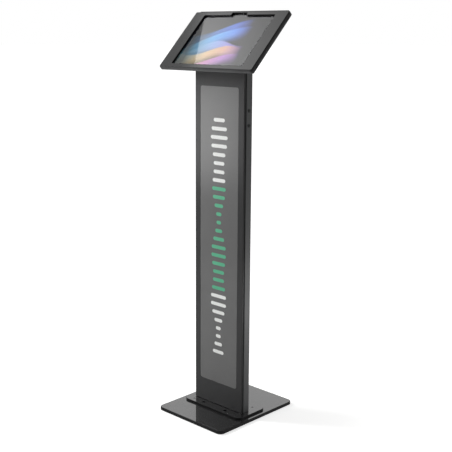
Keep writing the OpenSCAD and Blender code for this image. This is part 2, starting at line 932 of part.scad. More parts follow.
// Hinged security frame: lip round the window, rim, knuckles and the lock's hook
module front_frame() {
    color("darkgray")
        at_head()
            difference() {
                union() {
                    difference() {
                        translate([0, 0, frame_w0])
                            bevelled_plate(enc_w, enc_h, rim_h, enc_corner_r, frame_bevel);
                        translate([0, 0, frame_w0 - cut])
                            linear_extrude(lip_w0 - frame_w0 + cut)
                                rounded_rect(cavity_w, cavity_h, cavity_r);
                        translate([0, 0, lip_w0 - cut])
                            linear_extrude(lip_t + 2 * cut)
                                window_shape(0);
                    }
                    at_hinges()
                        knuckle(-frame_knuckle / 2, frame_knuckle, frame_w0,
                            hinge_w + knuckle_r - frame_w0);
                    lock_hook();
                }
                at_hinges()
                    hinge_bore(pin_r + turn_gap);
            }
}

// Hook under the frame's lip: a shank with a shelf that the cam turns over
module lock_hook() {
    root = lip_t / 2;
    translate([hook_u0, lock_v + hook_side, shelf_w0])
        cube([hook_u1 - hook_u0, hook_shank, lip_w0 + root - shelf_w0]);
    translate([hook_u0, lock_v - hook_side, shelf_w0])
        cube([hook_u1 - hook_u0, 2 * hook_side + hook_shank, shelf_t]);
}

// Foam ring under the frame's lip, clear of the window and the notch
module window_gasket() {
    reveal = 1;
    color("black")
        at_head()
            translate([0, 0, gasket_w0])
                linear_extrude(gasket_t)
                    difference() {
                        rounded_rect(window_w + 2 * gasket_band + 2 * reveal,
                            window_h + 2 * gasket_band + 2 * reveal, window_r + gasket_band);
                        window_shape(reveal);
                    }
}

module hinge_pins() {
    color("silver")
        at_head()
            at_hinges()
                translate([-hinge_len / 2, hinge_v, hinge_w])
                    rotate([0, 90, 0])
                        cylinder(r = pin_r, h = hinge_len);
}

// Barrel of the lock: outer flange, body through the shell's floor, bore for the plug
module lock_barrel() {
    color("silver")
        at_head()
            translate([lock_u, lock_v, 0])
                rotate_extrude()
                    polygon([[plug_r + turn_gap, -lock_flange_t], [lock_flange_r - 1, -lock_flange_t],
                        [lock_flange_r, 1 - lock_flange_t], [lock_flange_r, 0], [barrel_r, 0],
                        [barrel_r, barrel_end], [plug_r + turn_gap, barrel_end]]);
}

module lock_nut() {
    color("silver")
        at_head()
            translate([lock_u, lock_v, shell_floor])
                difference() {
                    rotate([0, 0, 30])
                        cylinder(r = lock_nut_r, h = lock_nut_t, $fn = 6);
                    translate([0, 0, -cut])
                        cylinder(r = barrel_r + screw_gap / 2, h = lock_nut_t + 2 * cut);
                }
}

// Plug of the lock with its key slot outside and a square for the cam inside
module lock_plug() {
    key_len = 5;
    key_w = 1.2;
    key_depth = 3;
    plug_top = cam_w0 - button_gap / 2;
    color("goldenrod")
        at_head()
            translate([lock_u, lock_v, 0])
                difference() {
                    union() {
                        translate([0, 0, -lock_flange_t])
                            cylinder(r = plug_r, h = lock_flange_t + plug_top);
                        translate([0, 0, plug_top + cam_t / 2])
                            cube([cam_square, cam_square, cam_t + button_gap], center = true);
                    }
                    translate([0, 0, -lock_flange_t])
                        cube([key_w, key_len, 2 * key_depth], center = true);
                    translate([0, 0, barrel_end - m3_head_h])
                        cylinder(r = m3_r / 2 + screw_gap, h = m3_head_h + cam_t + cut);
                }
}

// Cam of the lock, pointing down the slope when the lock is open
module lock_cam() {
    tip = cam_reach - cam_w / 2;
    color("silver")
        at_head()
            translate([lock_u, lock_v, cam_w0])
                linear_extrude(cam_t)
                    difference() {
                        union() {
                            circle(d = cam_w);
                            translate([-cam_w / 2, -tip])
                                square([cam_w, tip]);
                            translate([0, -tip])
                                circle(d = cam_w);
                        }
                        square(cam_square + 2 * turn_gap, center = true);
                    }
}

module cam_screw() {
    head_h = 1;
    color("silver")
        at_head()
            translate([lock_u, lock_v, cam_w0 + cam_t + screw_gap])
                rotate([180, 0, 0])
                    button_screw(m3_r / 2, m3_head_r, head_h, cam_t + m3_head_h);
}

base_plate();
base_pads();
foot_plate();
foot_screws();
column_body();
column_screws();
front_plate();
plate_screws();
graphic_panel();
column_cap();
cap_screws();
rear_grommet();
head_bracket();
vesa_screws();
back_shell();
entry_grommet();
tablet_pads();
tablet_stops();
tablet_body();
tablet_battery();
tablet_board();
tablet_display();
tablet_glass();
front_camera();
power_button();
volume_rocker();
front_frame();
window_gasket();
hinge_pins();
lock_barrel();
lock_nut();
lock_plug();
lock_cam();
cam_screw();
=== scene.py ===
"""Looks of a floor-standing tablet kiosk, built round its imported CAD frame.

Metres, in the frame of the part: the front faces -Y, +X is the user's right, +Z is up.
The enclosure has axes of its own: u across, v up the slope, w out of the face.
"""

import math
from typing import NamedTuple

import bmesh
import bpy
import numpy as np
from bpy.props import FloatProperty, FloatVectorProperty, IntProperty, PointerProperty
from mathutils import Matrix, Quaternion, Vector


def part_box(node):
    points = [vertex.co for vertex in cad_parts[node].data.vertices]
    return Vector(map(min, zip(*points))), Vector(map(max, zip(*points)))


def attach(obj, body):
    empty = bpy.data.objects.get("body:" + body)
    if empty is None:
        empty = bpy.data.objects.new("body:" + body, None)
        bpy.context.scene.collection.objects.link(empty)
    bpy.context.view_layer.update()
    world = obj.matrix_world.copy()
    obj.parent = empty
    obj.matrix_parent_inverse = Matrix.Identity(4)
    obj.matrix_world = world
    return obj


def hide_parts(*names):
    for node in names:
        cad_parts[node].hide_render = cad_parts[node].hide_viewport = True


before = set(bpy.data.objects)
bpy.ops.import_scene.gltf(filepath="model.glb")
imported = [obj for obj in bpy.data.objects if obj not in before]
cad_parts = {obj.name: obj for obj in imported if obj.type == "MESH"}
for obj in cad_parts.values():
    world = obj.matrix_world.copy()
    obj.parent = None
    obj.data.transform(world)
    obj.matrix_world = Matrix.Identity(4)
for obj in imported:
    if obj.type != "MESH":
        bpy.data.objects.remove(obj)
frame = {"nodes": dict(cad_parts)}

bl_info = {
    "name": "Tablet kiosk stand",
    "version": (1, 0, 0),
    "blender": (4, 5, 0),
    "location": "View3D > Sidebar > Kiosk",
    "description": "Finishes, print, screen and studio for a floor-standing tablet kiosk",
    "category": "Object",
}

MM = 0.001
FULL_TURN = 2 * math.pi

# Points nearer than this, in metres, are one point, and edges sharper than this are drawn sharp.
MERGE_DISTANCE = 1e-7
SHARP_EDGE = math.radians(32)

# Grain of every finish: the slow clouding under it in millimetres, the range of the sum of the
# two noises, the share of the bump's height that is used, and the rays that round an edge.
CLOUD_SIZE = 60
GRAIN_RANGE = (0.6, 1.4)
BUMP_SHARE = 0.6
EDGE_RAYS = 4
# Depths under a plate's top, in millimetres, between which its clear coat begins. They are so
# small that only the flat top has the coat.
COAT_DEPTHS = (0.0015, 0.0004)
# Finger marks on the glass are this wide, in millimetres.
SMEAR_SIZE = 18


class Screw(NamedTuple):
    """Sizes of a button-head screw in millimetres."""

    head_r: float
    head_h: float
    shank_r: float
    shank_l: float


COLUMN_SCREW = Screw(head_r=4.6, head_h=2.6, shank_r=2.5, shank_l=6)
CAP_SCREW = Screw(head_r=2.8, head_h=1.8, shank_r=1.5, shank_l=16)
SIDE_SCREW = Screw(head_r=4.4, head_h=1.6, shank_r=2, shank_l=2)
BRACKET_SCREW = Screw(head_r=3.8, head_h=2.2, shank_r=2, shank_l=5.5)

# Where the screws' heads sit, in millimetres. The bracket's are given by half of its square hole
# pattern and by the thickness of its tilted plate.
COLUMN_SCREW_X = 31.5
COLUMN_SCREW_Y = -2
COLUMN_SCREW_Z = (28.5, 60.5, 844, 882)
CAP_SCREW_X = 73.5
CAP_SCREW_Y = -10
CAP_SCREW_Z = 900
SIDE_SCREW_Y = -13.5
SIDE_SCREW_Z = (737, 772)
BRACKET_HOLE = 50
BRACKET_PLATE = 3

# Profile of a screw's socket from its rim to its floor, as shares of the head's radius and height.
SOCKET_RADII = np.array([0.4, 0.38, 0.36, 0])
SOCKET_LEVELS = np.array([1, 0.97, 0.42, 0.36])
# Steps over a screw's dome and round its axis.
DOME_STEPS = 9
ROUND_STEPS = 48

# Points along a printed bar and round its section.
BAR_POINTS = 41
BAR_SECTION = 16
# Lengths of the printed bars: their mean share, their swing, and the half waves of the two curves
# that swing them. The green bars lie between two shares of the way down.
BAR_MEAN = 0.62
BAR_SWING = 0.38
BAR_WAVES = (6, 2.3)
GREEN_BARS = (0.27, 0.74)

# Steps between two points of an outline, and steps round the film.
LOOP_STEPS = 40
FILM_STEPS = 720
# In millimetres: how deep the film sits in the face, the faces of picture and ink above the
# glass's underside, the ink's margin inside the glass, and its play round the picture.
FILM_SINK = 0.05
SHEET_LEVELS = (0.05, 0.1)
INK_MARGIN = 1
INK_PLAY = 0.02

# Profile of the camera's lens from its back to its middle: shares of its radius, and millimetres
# above the glass's underside.
LENS_RADII = np.array([0, 1, 1, 0.86, 0.8, 0.62, 0.42, 0.2, 0])
LENS_LEVELS = np.array([0.12, 0.12, 0.3, 0.3, 0.2, 0.25, 0.29, 0.31, 0.32])

# Studio floor in metres: half its side, its points along a side, and its drop under the pads.
FLOOR_REACH = 40
FLOOR_POINTS = 9
FLOOR_DROP = 0.0005
# Distances from the middle, in metres, over which the floor's own white begins and grows, and
# its strength at the ends of that growth.
WHITE_BEGINS = (0.09, 0.11)
WHITE_GROWS = (0.3, 1.6)
WHITE_STRENGTH = (0.68, 1.0)


class Ribbon(NamedTuple):
    """One ribbon of the screen's picture, in widths of the screen from the screen's middle.

    Its upper side is middle, plus slope times the place across, plus rise times the sine of waves
    times the place across plus phase. It reaches down by width and shows from start to end. first
    and last name the colours of its two ends.
    """

    middle: float
    slope: float
    rise: float
    waves: float
    phase: float
    width: float
    start: float
    end: float
    first: str
    last: str


RIBBONS = (
    Ribbon(0.20, 0.22, 0.05, 6.0, 0.6, 0.34, -0.62, 0.26, "picture_teal", "picture_blue"),
    Ribbon(0.10, 0.42, 0.045, 5.0, 2.0, 0.20, -0.58, 0.30, "picture_cyan", "picture_blue"),
    Ribbon(-0.06, 0.14, 0.06, 8.0, 2.2, 0.22, -0.56, 0.34, "picture_cyan", "picture_lilac"),
    Ribbon(-0.14, 0.10, 0.05, 7.5, 0.8, 0.20, -0.56, 0.32, "picture_cream", "picture_peach"),
    Ribbon(-0.27, 0.18, 0.04, 7.0, 0.2, 0.16, -0.52, 0.36, "picture_peach", "picture_lilac"),
)
# Width of a ribbon's sharp side, and its strength at its start, at its end and at places between.
RIBBON_EDGE = 0.012
RIBBON_START = 0.02
RIBBON_END = 0
RIBBON_BETWEEN = ((0.18, 0.06), (0.5, 0.92), (0.75, 0.86))


def linear(code):
    """Linear colour of an sRGB hex code, by the numbers of the sRGB standard."""
    parts = np.array([int(code[i:i + 2], 16) for i in (1, 3, 5)]) / 255
    return tuple(np.where(parts <= 0.04045, parts / 12.92, ((parts + 0.055) / 1.055) ** 2.4))


def length(label, note, millimetres):
    """A length property whose default is given in millimetres."""
    return FloatProperty(name=label, description=note, default=millimetres * MM, unit="LENGTH",
                         subtype="DISTANCE", precision=5)


def colour(label, note, code):
    """A colour property whose default is given as an sRGB hex code."""
    return FloatVectorProperty(name=label, description=note, default=linear(code), size=3,
                               min=0, max=1, subtype="COLOR")


class KioskSizes(bpy.types.PropertyGroup):
    """Sizes of the pieces that are added to the frame."""

    base_top: length("Base top", "Height of the base plate's upper face", 9.5)
    foot_top: length("Foot top", "Height of the foot plate's upper face", 14.5)
    head_tilt: FloatProperty(name="Head tilt", description="Slope of the enclosure",
                             default=math.radians(45), subtype="ANGLE", unit="ROTATION")
    head_y: length("Head Y", "Place of the enclosure's back plane along Y", -11)
    head_z: length("Head Z", "Height of the enclosure's back plane", 926.0426)
    display_w: length("Display width", "Lit width of the screen", 227.1)
    display_h: length("Display height", "Lit height of the screen", 158)
    display_r: length("Display corner", "Corner radius of the lit screen", 3)
    glass_w: length("Glass width", "Width of the cover glass", 248)
    glass_h: length("Glass height", "Height of the cover glass", 178.9)
    glass_r: length("Glass corner", "Corner radius of the cover glass", 9.7)
    glass_floor: length("Glass floor", "Underside of the cover glass above the back plane", 9.3)
    face_level: length("Face level", "Front face of the frame above the back plane", 14.3)
    face_w: length("Face width", "Width of the frame's flat face", 301)
    face_h: length("Face height", "Height of the frame's flat face", 182.4)
    face_r: length("Face corner", "Corner radius of the frame's flat face", 3.2)
    window_w: length("Window width", "Width of the window in the frame", 230.1)
    window_h: length("Window height", "Height of the window in the frame", 161)
    notch_w: length("Notch width", "Width of the camera notch", 50)
    notch_h: length("Notch height", "Height of the camera notch above the window", 7.5)
    window_r: length("Window corner", "Corner radius of the window and the notch", 3)
    film_t: length("Film", "Thickness of the film on the frame's face", 0.06)
    film_inset: length("Film inset", "Margin of the film inside the face's edges", 0.3)
    camera_v: length("Camera place", "Place of the tablet's camera up the slope", 84.375)
    lens_r: length("Lens radius", "Radius of the tablet's camera ring", 2.3)
    print_top: length("Print top", "Height of the upper end of the printed bars", 746)
    print_bottom: length("Print bottom", "Height of the lower end of the printed bars", 158)
    print_w: length("Print width", "Length of the longest printed bar", 60)
    print_bar: length("Print bar", "Thickness of one printed bar", 9)
    print_bars: IntProperty(name="Printed bars", description="Number of printed bars", default=29)
    ink_t: length("Ink", "Thickness of the printed ink", 0.08)


class KioskColours(bpy.types.PropertyGroup):
    """Colours of the finishes."""

    lacquer: colour("Lacquer", "Gloss lacquer on the base and the foot", "#0C0C0D")
    powder: colour("Powder coat", "Powder coat on the head bracket", "#1B1C1E")
    column: colour("Column", "Anodised sides of the column", "#3A3B3C")
    front: colour("Front plate", "Anodised front of the column", "#323233")
    panel: colour("Graphic panel", "Grey sheet in the column's front", "#646464")
    ink_pale: colour("Pale ink", "Pale printed bars", "#F1F2F0")
    ink_green: colour("Green ink", "Green printed bars", "#4BAB83")
    film: colour("Frame film", "Grey film on the front face of the frame", "#1A1B1B")
    # Near black, which also paints the shade on the frame's sides and inner window walls.
    frame: colour("Frame", "Black edges of the frame", "#0A0A0B")
    shell: colour("Shell", "Anodised back shell", "#17181A")
    rubber: colour("Rubber", "Pads, grommets and the top cap", "#141415")
    foam: colour("Foam", "Gasket, pads and stops", "#1C1C1D")
    zinc: colour("Zinc", "Zinc-plated steel", "#B9BCC0")
    chrome: colour("Chrome", "Chrome-plated barrel of the lock", "#D9DBDE")
    brass: colour("Brass", "Plug of the lock", "#C9A557")
    tablet: colour("Tablet", "Blasted aluminium of the tablet", "#C3C6CB")
    board: colour("Board", "Solder mask of the circuit board", "#14513A")
    foil: colour("Foil", "Battery pouch", "#2B2C30")
    module: colour("Display module", "Stamped frame behind the screen", "#2A2B2D")
    border: colour("Border ink", "Ink on the back of the cover glass", "#0A0A0B")
    barrel: colour("Lens barrel", "Barrel of the tablet's camera", "#0B0B10")
    lens: colour("Lens", "Coated lens of the tablet's camera", "#0A0D18")
    picture_ground: colour("Picture ground", "Dark ground of the screen's picture", "#141518")
    picture_teal: colour("Picture teal", "Dark ends of the ribbons", "#1C6A6B")
    picture_cyan: colour("Picture cyan", "Pale blue ribbon", "#6FD0E0")
    picture_blue: colour("Picture blue", "Blue ribbon", "#5E77E8")
    picture_lilac: colour("Picture lilac", "Lilac ribbon", "#A878DC")
    picture_peach: colour("Picture peach", "Peach ribbon", "#DE9678")
    picture_cream: colour("Picture cream", "Pale yellow ribbon", "#D8D8A4")


class KioskStage(bpy.types.PropertyGroup):
    """Camera, light from all round, and colour of the floor."""

    camera_at: FloatVectorProperty(name="Camera", description="Place of the camera",
                                   default=(1.5164, -1.6071, 0.9639), subtype="TRANSLATION",
                                   unit="LENGTH")
    camera_turn: FloatProperty(name="Turn", description="Azimuth that the camera looks along",
                               default=math.radians(45.07), subtype="ANGLE")
    camera_dip: FloatProperty(name="Dip", description="Angle that the camera looks down",
                              default=math.radians(12.34), subtype="ANGLE")
    lens: FloatProperty(name="Lens", description="Focal length in millimetres", default=72.36,
                        unit="CAMERA")
    sensor: FloatProperty(name="Sensor", description="Width of the sensor in millimetres",
                          default=36, unit="CAMERA")
    shift: FloatProperty(name="Shift", description="Sideways shift of the picture", default=0.057)
    ambient: FloatProperty(name="Ambient", description="Strength of the light from all round",
                           default=0.19)
    floor: colour("Floor", "Paper floor of the studio", "#F4F4F3")


def node(tree, kind, inputs=None, **settings):
    """Adds a node and sets its properties and sockets; a value that is itself a socket is linked."""
    made = tree.nodes.new(kind)
    for key, value in settings.items():
        setattr(made, key, value)
    for key, value in (inputs or {}).items():
        if isinstance(value, bpy.types.NodeSocket):
            tree.links.new(value, made.inputs[key])
        else:
            made.inputs[key].default_value = value
    return made


def new_material(name):
    """Empty node material."""
    made = bpy.data.materials.new(name)
    made.use_nodes = True
    made.node_tree.nodes.clear()
    return made, made.node_tree


def rgba(value):
    """Colour with full opacity."""
    return (*value, 1)


def grained(name, tint, grain, stretch=(1, 1, 1), shade=0.25, rough=(0.4, 0.55), bump=0.02,
            edge=0.5, coat_from=None, **shader):
    """Material whose colour, roughness and height follow one grain of a real size.

    grain: size of the grain in millimetres; stretch: how much longer it is along each axis;
    shade: share by which the colour varies; rough: lowest and highest roughness;
    bump: height of the grain in millimetres; edge: rounding of the edges in millimetres;
    coat_from: height above the floor from which a clear coat lies on the surface.
    """
    made, tree = new_material(name)
    place = node(tree, "ShaderNodeTexCoord").outputs["Object"]
    squeezed = node(tree, "ShaderNodeMapping",
                    {"Vector": place, "Scale": tuple(1 / (grain * MM * s) for s in stretch)})
    fine = node(tree, "ShaderNodeTexNoise",
                {"Vector": squeezed.outputs[0], "Scale": 1, "Detail": 2, "Roughness": 0.6})
    broad = node(tree, "ShaderNodeTexNoise",
                 {"Vector": place, "Scale": 1 / (CLOUD_SIZE * MM), "Detail": 1})
    mixed = node(tree, "ShaderNodeMath", {0: fine.outputs[0], 1: broad.outputs[0]}, operation="ADD")
    level = node(tree, "ShaderNodeMapRange",
                 {"Value": mixed.outputs[0], "From Min": GRAIN_RANGE[0], "From Max": GRAIN_RANGE[1]})
    ramp = node(tree, "ShaderNodeValToRGB", {"Fac": level.outputs[0]})
    ramp.color_ramp.elements[0].color = rgba(c * (1 - shade) for c in tint)
    ramp.color_ramp.elements[1].color = rgba(min(c * (1 + shade), 1) for c in tint)
    if coat_from is not None:
        axes = node(tree, "ShaderNodeSeparateXYZ", {0: place})
        begins, full = (coat_from - depth * MM for depth in COAT_DEPTHS)
        shader["Coat Weight"] = node(tree, "ShaderNodeMapRange",
                                     {"Value": axes.outputs[2], "From Min": begins,
                                      "From Max": full}).outputs[0]
    gloss = node(tree, "ShaderNodeMapRange",
                 {"Value": level.outputs[0], "To Min": rough[0], "To Max": rough[1]})
    relief = node(tree, "ShaderNodeBump",
                  {"Strength": BUMP_SHARE, "Distance": bump * MM, "Height": fine.outputs[0]})
    if edge:
        round_edge = node(tree, "ShaderNodeBevel", {"Radius": edge * MM}, samples=EDGE_RAYS)
        tree.links.new(round_edge.outputs[0], relief.inputs["Normal"])
    surface = node(tree, "ShaderNodeBsdfPrincipled",
                   {"Base Color": ramp.outputs[0], "Roughness": gloss.outputs[0],
                    "Normal": relief.outputs[0], **shader})
    node(tree, "ShaderNodeOutputMaterial", {"Surface": surface.outputs[0]})
    return made


def shared(name, tint, **finish):
    """Grained material that several pieces use: it is made the first time it is asked for."""
    return bpy.data.materials.get(name) or grained(name, tint, **finish)


def coat(names, made):
    """Gives one material to the named nodes of the frame."""
    for name in names:
        slots = frame["nodes"][name].data.materials
        slots.clear()
        slots.append(made)


def enclosure_axes(tree):
    """Object coordinates turned back into the enclosure's u, v and w."""
    sizes = bpy.context.scene.kiosk_sizes
    place = node(tree, "ShaderNodeTexCoord").outputs["Object"]
    return node(tree, "ShaderNodeMapping",
                {"Vector": place, "Location": (0, sizes.head_y, sizes.head_z),
                 "Rotation": (sizes.head_tilt, 0, 0)}, vector_type="TEXTURE").outputs[0]


def head_points(u, v, w):
    """Turns enclosure axes into the part's frame: a turn by the tilt about X, then the move to
    the head's place."""
    sizes = bpy.context.scene.kiosk_sizes
    c, s = math.cos(sizes.head_tilt), math.sin(sizes.head_tilt)
    u, v, w = np.broadcast_arrays(u, v, w)
    return np.stack([u, sizes.head_y + v * c - w * s, sizes.head_z + v * s + w * c], axis=-1)


def outline(width, height, radius, count=64):
    """Rounded rectangle as a loop: each quarter of the points runs round one corner's arc, and
    the straight sides are the steps between the arcs."""
    quarter = count // 4
    turn = np.arange(count) // quarter
    angle = (np.arange(count) % quarter) / (quarter - 1) * math.pi / 2 + turn * math.pi / 2
    side_x = np.where((turn == 0) | (turn == 3), 1, -1) * (width / 2 - radius)
    side_y = np.where(turn < 2, 1, -1) * (height / 2 - radius)
    return side_x + radius * np.cos(angle), side_y + radius * np.sin(angle)


def skin(name, points, body, finish, ring=False):
    """Mesh over grids of points.

    points[copy, i, j]: i follows a profile and j runs round and closes on itself. With ring the
    profile closes too, and otherwise its ends are poles. Poles are merged to one point, and the
    faces are turned outwards.
    """
    points = np.asarray(points, dtype=float)
    if points.ndim == 3:
        points = points[None]
    copies, rows, around = points.shape[:3]
    k, i, j = np.meshgrid(np.arange(copies), np.arange(rows if ring else rows - 1),
                          np.arange(around), indexing="ij")
    start = k * rows * around
    here, there, right = start + i * around, start + (i + 1) % rows * around, (j + 1) % around
    faces = np.stack([here + j, here + right, there + right, there + j], axis=-1).reshape(-1, 4)
    mesh = bpy.data.meshes.new(name)
    mesh.from_pydata(points.reshape(-1, 3).tolist(), [], faces.tolist())
    work = bmesh.new()
    work.from_mesh(mesh)
    bmesh.ops.remove_doubles(work, verts=work.verts, dist=MERGE_DISTANCE)
    bmesh.ops.recalc_face_normals(work, faces=work.faces)
    work.to_mesh(mesh)
    work.free()
    mesh.shade_smooth()
    mesh.set_sharp_from_angle(angle=SHARP_EDGE)
    mesh.materials.append(finish)
    made = bpy.data.objects.new(name, mesh)
    bpy.context.scene.collection.objects.link(made)
    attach(made, body)
    return made


def pills(centres, lengths, thick, depth, front_y):
    """Flat round-ended bars up the panel's middle: a flattened oval section carried along X.

    Along the bar the half width follows a straight run with a circle at each end, and round the
    section the height is a squared-off oval of the ink's depth.
    """
    along = np.linspace(-1, 1, BAR_POINTS)[:, None]
    around = np.linspace(0, FULL_TURN, BAR_SECTION, endpoint=False)[None, :]
    half = np.asarray(lengths)[:, None, None] / 2
    run = np.sin(along * math.pi / 2)[None] * half
    into = np.clip((np.abs(run) - half + thick / 2) / (thick / 2), 0, 1)
    taper = np.sqrt(1 - into ** 2)
    x = run + 0 * around[None]
    z = np.asarray(centres)[:, None, None] + taper * thick / 2 * np.cos(around)[None]
    lift = np.sign(np.sin(around)) * np.sqrt(np.abs(np.sin(around)))
    y = front_y - depth / 2 * lift[None] * taper + 0 * x
    return np.stack([x, y, z], axis=-1)


def screw_heads(name, places, out, across, screw, finish):
    """Button-head screws with a hexagon socket: one profile turned about the screw's axis.

    The profile goes up the shank, under the head, over the dome and down into the socket. In the
    socket the circle is drawn in to a hexagon.
    """
    head_r, head_h, shank_r, shank_l = (size * MM for size in screw)
    dome = np.linspace(0, math.pi / 2, DOME_STEPS)
    radius = np.concatenate([[0, shank_r, shank_r], head_r * (0.5 + 0.5 * np.cos(dome)),
                             head_r * SOCKET_RADII])
    height = np.concatenate([[-shank_l, -shank_l, 0], head_h * np.sin(dome),
                             head_h * SOCKET_LEVELS])
    in_socket = np.arange(len(radius)) >= len(radius) - len(SOCKET_RADII)
    angle = np.linspace(0, FULL_TURN, ROUND_STEPS, endpoint=False)
    hexagon = math.cos(math.pi / 6) / np.cos(angle % (math.pi / 3) - math.pi / 6)
    r = radius[:, None] * np.where(in_socket[:, None], hexagon[None], 1)
    out, across = np.array(out, float), np.array(across, float)
    third = np.cross(out, across)
    ring = (r * np.cos(angle))[..., None] * across + (r * np.sin(angle))[..., None] * third
    one = ring + height[:, None, None] * out
    points = np.asarray(places)[:, None, None, :] + one[None]
    return skin(name, points, "stand", finish)


def plate_rows(width, height, radius, low, high):
    """Flat sheet in the enclosure: a rounded outline drawn in to its middle below and above."""
    x, y = outline(width, height, radius)
    share = np.array([0, 1, 1, 0])[:, None]
    level = np.array([low, low, high, high])[:, None]
    return head_points(share * x, share * y, level + 0 * x)


def band_rows(outer, inner, low, high):
    """Flat frame in the enclosure: a square section carried round between two outlines."""
    ox, oy = outline(*outer)
    ix, iy = outline(*inner)
    x, y = np.stack([ix, ox, ox, ix]), np.stack([iy, oy, oy, iy])
    level = np.array([low, low, high, high])[:, None]
    return head_points(x, y, level + 0 * x)


def loop_radius(x, y, angle):
    """Distance from the middle to a closed loop in each direction: the loop's sides are cut into
    short steps, and the distance is read off between the steps' directions."""
    step = np.linspace(0, 1, LOOP_STEPS, endpoint=False)
    px = (x[:, None] + (np.roll(x, -1) - x)[:, None] * step).ravel()
    py = (y[:, None] + (np.roll(y, -1) - y)[:, None] * step).ravel()
    turn = np.arctan2(py, px)
    order = np.argsort(turn)
    return np.interp(angle, turn[order], np.hypot(px, py)[order], period=FULL_TURN)


def film_rows(sizes):
    """Film on the frame's face: a thin section carried round between the face's outline and the
    window's, both as distances from the middle. The camera notch is where a narrow, taller
    rectangle reaches out further than the window does."""
    inset = sizes.film_inset
    outer = outline(sizes.face_w - 2 * inset, sizes.face_h - 2 * inset, sizes.face_r)
    window = outline(sizes.window_w + 2 * inset, sizes.window_h + 2 * inset, sizes.window_r)
    notch = outline(sizes.notch_w + 2 * inset, sizes.window_h + 2 * (sizes.notch_h + inset),
                    sizes.window_r)
    angle = np.concatenate([np.arctan2(y, x) for x, y in (outer, window, notch)]
                           + [np.linspace(-math.pi, math.pi, FILM_STEPS, endpoint=False)])
    # Directions that agree to five places are one, so that no sliver of a face is left.
    angle = np.unique(np.round(angle, 5))
    raised = np.where(np.sin(angle) > 0, loop_radius(*notch, angle), 0)
    inner = np.maximum(loop_radius(*window, angle), raised)
    edge = loop_radius(*outer, angle)
    radius = np.stack([inner, edge, edge, inner])
    low, high = sizes.face_level - FILM_SINK * MM, sizes.face_level + sizes.film_t
    level = np.array([low, low, high, high])[:, None] + 0 * radius
    return head_points(radius * np.cos(angle), radius * np.sin(angle), level)


def rubber_finish(hues):
    """Nitrile rubber, moulded: a dull black with the mould's fine spark grain."""
    return shared("rubber_moulded", hues.rubber, grain=0.8, shade=0.3, rough=(0.7, 0.85),
                  bump=0.03, edge=0.6, **{"Specular IOR Level": 0.35})


def foam_finish(hues):
    """Closed-cell foam, cut from sheet: open cells on the cut give a dull, pitted black."""
    return shared("foam_sheet_cut", hues.foam, grain=0.6, shade=0.5, rough=(0.85, 0.95),
                  bump=0.12, edge=0.3, **{"Specular IOR Level": 0.2})


def zinc_finish(hues):
    """Zinc-plated steel: pale metal with the faint cloudiness of the plating bath."""
    return shared("steel_zinc_plated", hues.zinc, grain=1.2, shade=0.1, rough=(0.28, 0.42),
                  bump=0.005, edge=0.2, **{"Metallic": 1.0})


def black_oxide_finish(hues):
    """Blackened steel: a dull, oily black."""
    return shared("steel_black_oxide", hues.lacquer, grain=1.2, shade=0.3, rough=(0.45, 0.6),
                  bump=0.005, edge=0.2, **{"Specular IOR Level": 0.3})


def cover_glass_finish():
    """Chemically strengthened glass, polished: clear, with a sharp reflection that the grease of
    fingers softens in patches."""
    made, tree = new_material("glass_sheet_polished")
    place = node(tree, "ShaderNodeTexCoord").outputs["Object"]
    smear = node(tree, "ShaderNodeTexNoise",
                 {"Vector": place, "Scale": 1 / (SMEAR_SIZE * MM), "Detail": 3})
    haze = node(tree, "ShaderNodeMapRange",
                {"Value": smear.outputs[0], "From Min": 0.45, "From Max": 0.75,
                 "To Min": 0.015, "To Max": 0.06})
    clear = node(tree, "ShaderNodeBsdfPrincipled",
                 {"Base Color": (1, 1, 1, 1), "Roughness": haze.outputs[0], "IOR": 1.5,
                  "Transmission Weight": 1.0})
    node(tree, "ShaderNodeOutputMaterial", {"Surface": clear.outputs[0]})
    return made


